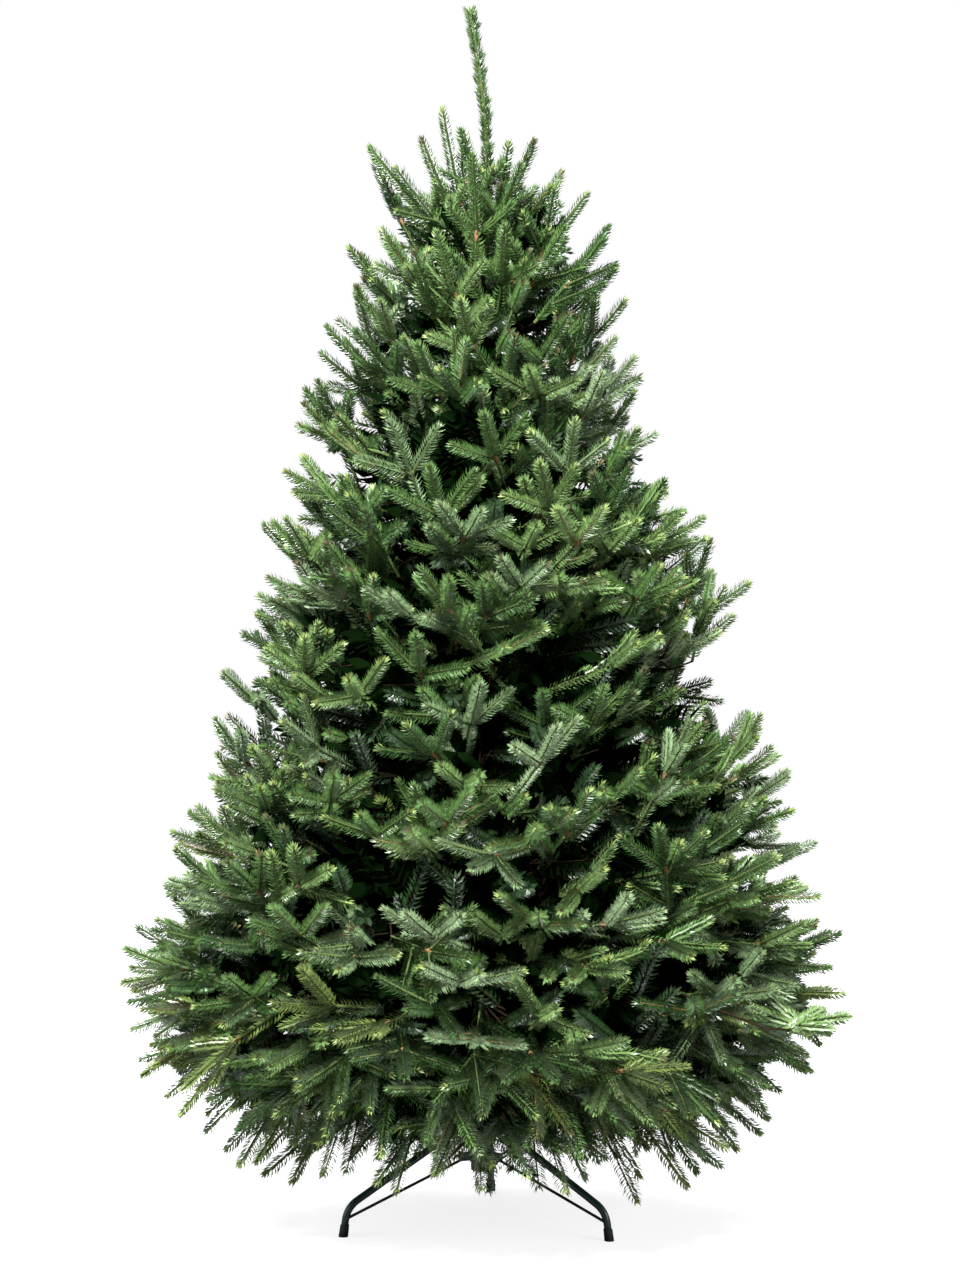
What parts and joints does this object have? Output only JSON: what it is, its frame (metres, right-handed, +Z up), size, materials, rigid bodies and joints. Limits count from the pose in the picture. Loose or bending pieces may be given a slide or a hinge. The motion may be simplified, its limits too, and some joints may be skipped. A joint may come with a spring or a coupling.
{
  "type": "artificial christmas tree on a folding stand",
  "caption": "Full fir-shaped artificial tree: slim pole trunk, drooping to upright boughs in tiers, dense short needles, single leader, on a folding steel tripod stand.",
  "frame": {"origin": "on the trunk's axis at floor level, under the middle of the crown", "axes": "+Z up along the trunk, -Y the front of the tree, +X to the right as seen from the front"},
  "size_m": [1.2594, 1.2545, 2.13],
  "materials": {
    "needles": "matt moulded needles in several greens, yellow-green at the tips and grey-green beneath",
    "twig": "matt brown moulded twigs, orange-brown where they fork",
    "bark": "matt brown with a bark-like relief",
    "stand_paint": "dark green satin paint",
    "brace_paint": "near-black satin paint",
    "rubber": "matt dark rubber"
  },
  "bodies": {
    "root": {"bough_low_1": "twig", "bough_low_2": "twig", "bough_low_3": "twig", "bough_low_4": "twig", "bough_middle_1": "twig", "bough_middle_2": "twig", "bough_middle_3": "twig", "bough_skirt_1": "twig", "bough_skirt_2": "twig", "bough_skirt_3": "twig", "bough_skirt_4": "twig", "bough_skirt_5": "twig", "bough_top_1": "twig", "bough_top_2": "twig", "bough_top_3": "twig", "bough_upper_1": "twig", "bough_upper_2": "twig", "bough_upper_3": "twig", "bough_waist_1": "twig", "bough_waist_2": "twig", "bough_waist_3": "twig", "bough_waist_4": "twig", "foliage_low_1": "needles", "foliage_low_2": "needles", "foliage_low_3": "needles", "foliage_low_4": "needles", "foliage_middle_1": "needles", "foliage_middle_2": "needles", "foliage_middle_3": "needles", "foliage_skirt_1": "needles", "foliage_skirt_2": "needles", "foliage_skirt_3": "needles", "foliage_skirt_4": "needles", "foliage_skirt_5": "needles", "foliage_top_1": "needles", "foliage_top_2": "needles", "foliage_top_3": "needles", "foliage_upper_1": "needles", "foliage_upper_2": "needles", "foliage_upper_3": "needles", "foliage_waist_1": "needles", "foliage_waist_2": "needles", "foliage_waist_3": "needles", "foliage_waist_4": "needles", "foot_cap_back": "rubber", "foot_cap_left": "rubber", "foot_cap_right": "rubber", "leader": "needles", "pole_joint_ring": "stand_paint", "stand_brace_back": "brace_paint", "stand_brace_left": "brace_paint", "stand_brace_right": "brace_paint", "stand_collar_high": "stand_paint", "stand_collar_low": "stand_paint", "stand_leg_back": "stand_paint", "stand_leg_left": "stand_paint", "stand_leg_right": "stand_paint", "stand_sleeve": "stand_paint", "trunk": "bark"}
  },
  "joints": []
}
